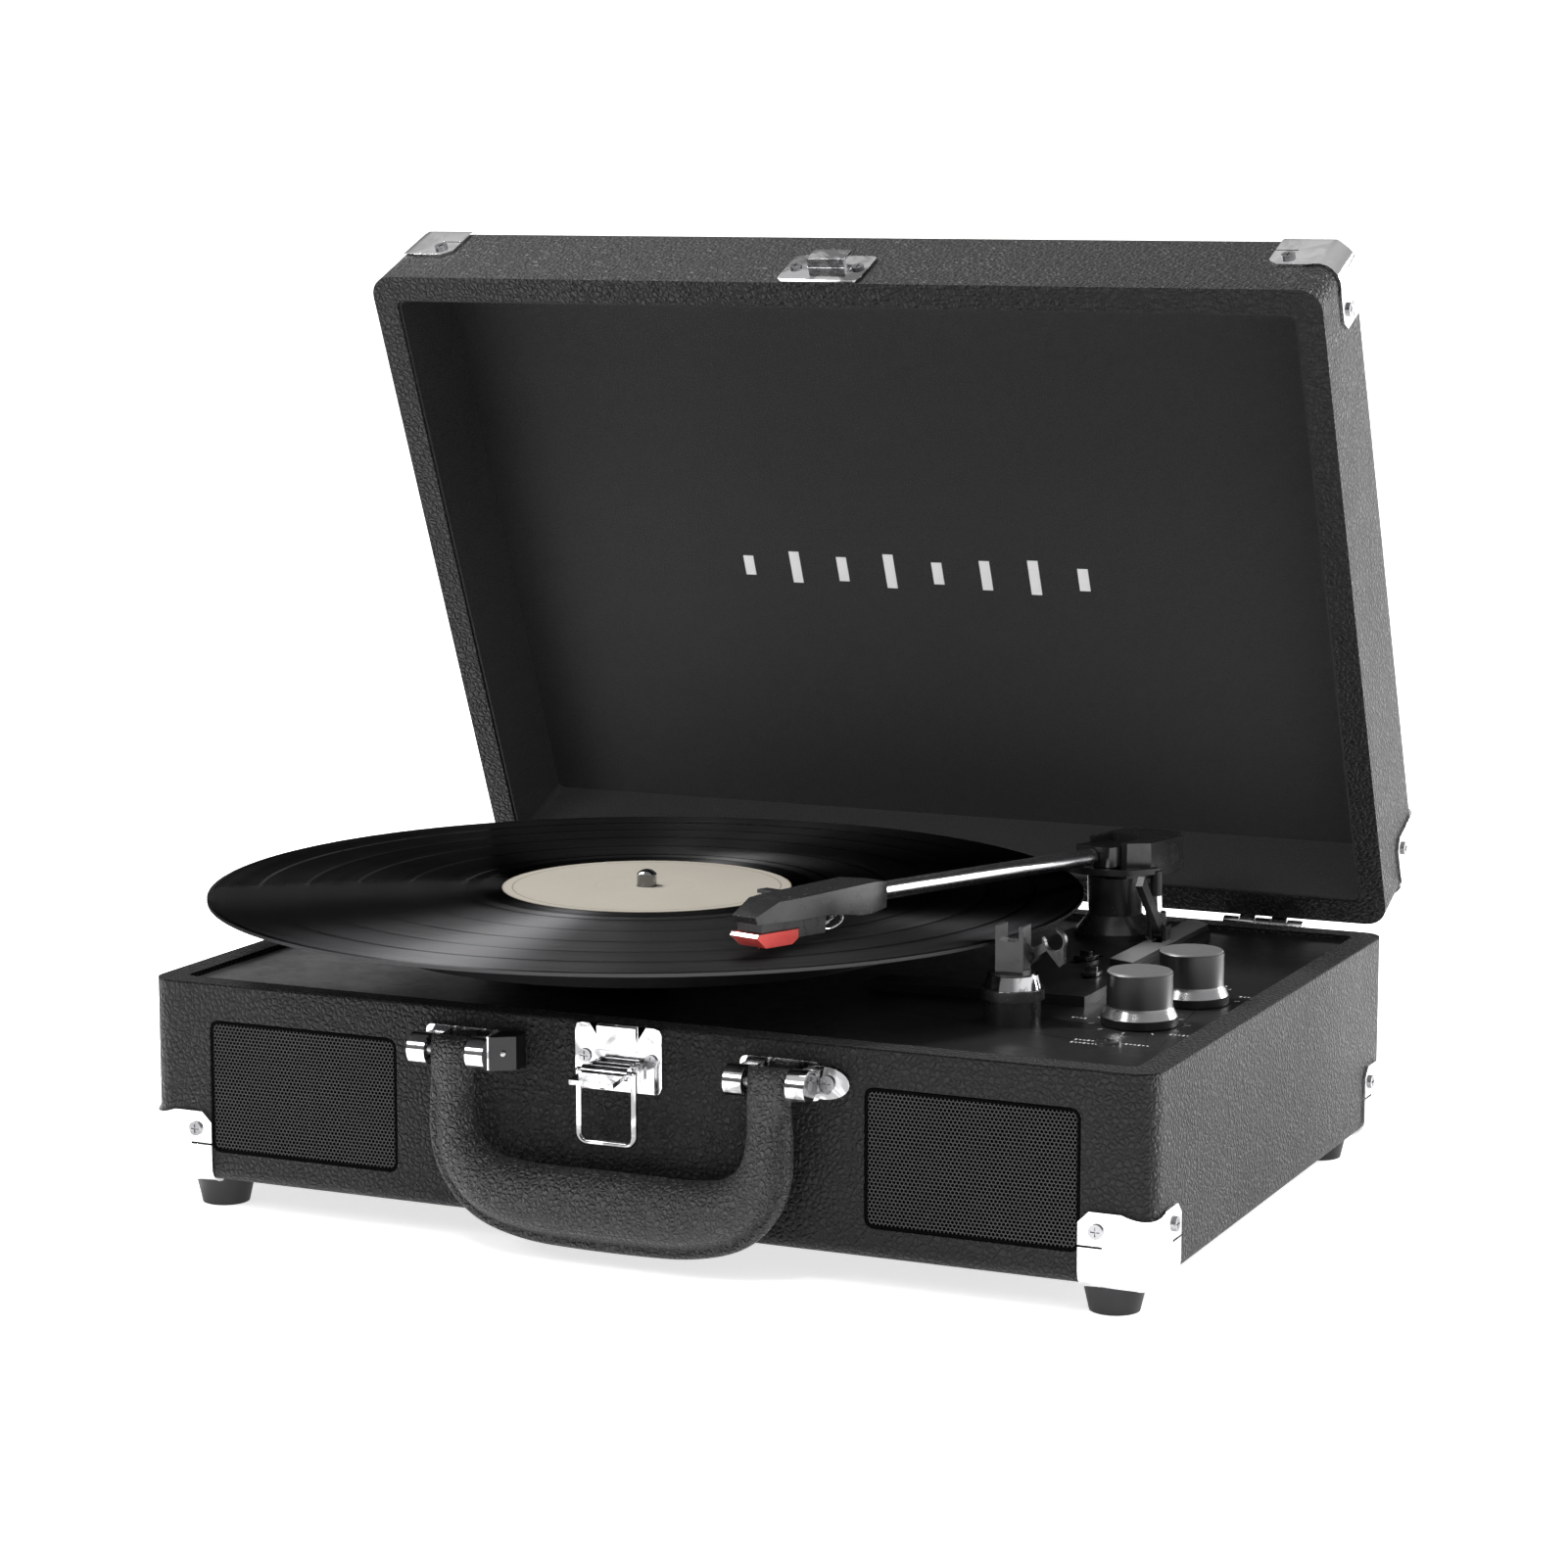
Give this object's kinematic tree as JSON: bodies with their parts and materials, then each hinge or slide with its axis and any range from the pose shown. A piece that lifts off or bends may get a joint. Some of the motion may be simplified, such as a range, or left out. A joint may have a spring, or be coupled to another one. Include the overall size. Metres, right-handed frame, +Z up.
{
  "type": "suitcase record player",
  "caption": "Portable record player built into a black leatherette suitcase, lid open, with platter, record, tonearm, front speakers, knobs, latch and carrying handle.",
  "frame": {"origin": "centre of the flat underside of the case, above the feet", "axes": "+X to the right along the case's width, +Y to the back where the hinges are, +Z up"},
  "size_m": [0.3747, 0.3357, 0.3254],
  "materials": {
    "black_grille": "perforated steel, black paint",
    "black_plastic": "satin black moulded plastic",
    "board_green": "circuit board",
    "brass": "turned brass",
    "chrome": "bright nickel-chrome plate",
    "clear_red": "translucent red plastic",
    "gloss_black": "glossy black plastic",
    "hardboard": "plain hardboard",
    "leatherette": "black pebbled imitation leather over wood board",
    "leatherette_inner": "dark charcoal lining, fine grain",
    "mat_felt": "black slip mat",
    "paper_label": "cream paper label",
    "print_white": "white print",
    "rubber": "black rubber",
    "silver_tube": "satin silver tube",
    "steel": "plain steel",
    "vinyl": "black grooved vinyl"
  },
  "bodies": {
    "case": {"base_shell": "leatherette", "bottom_panel": "hardboard", "deck_panel": "black_plastic", "feet": "rubber", "base_screws": "chrome", "base_corner_fl": "chrome", "base_corner_fr": "chrome", "base_corner_bl": "chrome", "base_corner_br": "chrome", "grille_l": "black_grille", "grille_r": "black_grille", "speaker_l": "steel", "speaker_r": "steel", "hinge_base_leaves": "chrome", "pivot_pins": "steel", "latch_plate": "chrome", "handle_bracket_l": "chrome", "handle_bracket_r": "chrome", "spindle": "chrome", "motor": "steel", "main_board": "board_green", "headphone_jack": "steel", "rear_plate": "black_plastic", "rear_jacks": "steel", "control_plinth": "black_plastic", "arm_rest": "black_plastic", "arm_rest_ring": "chrome", "arm_pedestal": "gloss_black", "potentiometers": "steel", "drive_belt": "rubber"},
    "lid": {"lid_shell": "leatherette", "lid_lining": "leatherette_inner", "lid_catch": "chrome", "lid_screws": "chrome", "lid_emblem": "print_white", "hinge_lid_leaves": "chrome", "lid_corner_fl": "chrome", "lid_corner_fr": "chrome", "lid_corner_bl": "chrome", "lid_corner_br": "chrome"},
    "turntable": {"platter": "black_plastic", "platter_mat": "mat_felt", "vinyl_record": "vinyl", "record_label": "paper_label"},
    "pulley": {"motor_pulley": "brass"},
    "arm_swing": {"arm_housing": "gloss_black"},
    "arm": {"arm_tube": "silver_tube", "headshell": "black_plastic", "cartridge": "black_plastic", "stylus_block": "clear_red"},
    "lift": {"lift_bar": "gloss_black"},
    "cue": {"cue_lever": "black_plastic"},
    "clip": {"arm_clip": "black_plastic"},
    "volume": {"knob_volume": "gloss_black"},
    "function": {"knob_function": "gloss_black"},
    "speed": {"speed_slider": "black_plastic"},
    "auto_stop": {"stop_slider": "black_plastic"},
    "handle": {"handle_grip": "leatherette"},
    "lever": {"latch_lever": "chrome"},
    "bail": {"latch_bail": "chrome"}
  },
  "joints": [
    {"name": "lid_hinge", "type": "hinge", "parent": "case", "child": "lid", "pos_m": [0, 0.1272, 0.067], "axis": [-1, 0, 0], "range_deg": [-24, 0]},
    {"name": "platter_spin", "type": "hinge", "parent": "case", "child": "turntable", "pos_m": [-0.043, -0.02, 0.09], "axis": [0, 0, 1], "continuous": true},
    {"name": "pulley_spin", "type": "hinge", "parent": "case", "child": "pulley", "pos_m": [-0.10275, 0.03014, 0.075], "axis": [0, 0, 1], "continuous": true},
    {"name": "arm_turn", "type": "hinge", "parent": "case", "child": "arm_swing", "pos_m": [0.095, 0.074, 0.0991], "axis": [0, 0, 1], "range_deg": [-26, 19.9]},
    {"name": "arm_lift", "type": "hinge", "parent": "arm_swing", "child": "arm", "pos_m": [0.095, 0.074, 0.0991], "axis": [-0.9694, 0.2453, 0], "range_deg": [-0.75, 0]},
    {"name": "lift_slide", "type": "slide", "parent": "case", "child": "lift", "axis": [0, 0, 1], "range_m": [-0.0012, 0]},
    {"name": "cue_turn", "type": "hinge", "parent": "case", "child": "cue", "pos_m": [0.1165, 0.06, 0.075], "axis": [1, 0, 0], "range_deg": [0, 35]},
    {"name": "clip_turn", "type": "hinge", "parent": "case", "child": "clip", "pos_m": [0.1129, -0.0561, 0.0873], "axis": [0, -1, 0], "range_deg": [0, 83]},
    {"name": "volume_turn", "type": "hinge", "parent": "case", "child": "volume", "pos_m": [0.1475, -0.049, 0.067], "axis": [0, 0, 1], "range_deg": [-150, 150]},
    {"name": "function_turn", "type": "hinge", "parent": "case", "child": "function", "pos_m": [0.1518, -0.0102, 0.067], "axis": [0, 0, 1], "range_deg": [-30, 30]},
    {"name": "speed_slide", "type": "slide", "parent": "case", "child": "speed", "axis": [0.2756, 0.9613, 0], "range_m": [-0.0045, 0.0045]},
    {"name": "stop_slide", "type": "slide", "parent": "case", "child": "auto_stop", "axis": [0, 1, 0], "range_m": [-0.0025, 0.0025]},
    {"name": "handle_turn", "type": "hinge", "parent": "case", "child": "handle", "pos_m": [-0.001, -0.1335, 0.056], "axis": [-1, 0, 0], "range_deg": [0, 115]},
    {"name": "latch_lever_turn", "type": "hinge", "parent": "case", "child": "lever", "pos_m": [-0.0015, -0.1285, 0.054], "axis": [-1, 0, 0], "range_deg": [-10, 80]},
    {"name": "latch_bail_turn", "type": "hinge", "parent": "lever", "child": "bail", "pos_m": [-0.0015, -0.1335, 0.054], "axis": [-1, 0, 0], "range_deg": [-5, 100]}
  ],
  "couplings": [
    {"joint": "pulley_spin", "follows": "platter_spin", "ratio": 12},
    {"joint": "cue_turn", "follows": "lift_slide", "rad_per_m": -509},
    {"joint": "arm_lift", "follows": "lift_slide", "rad_per_m": 10.9}
  ]
}
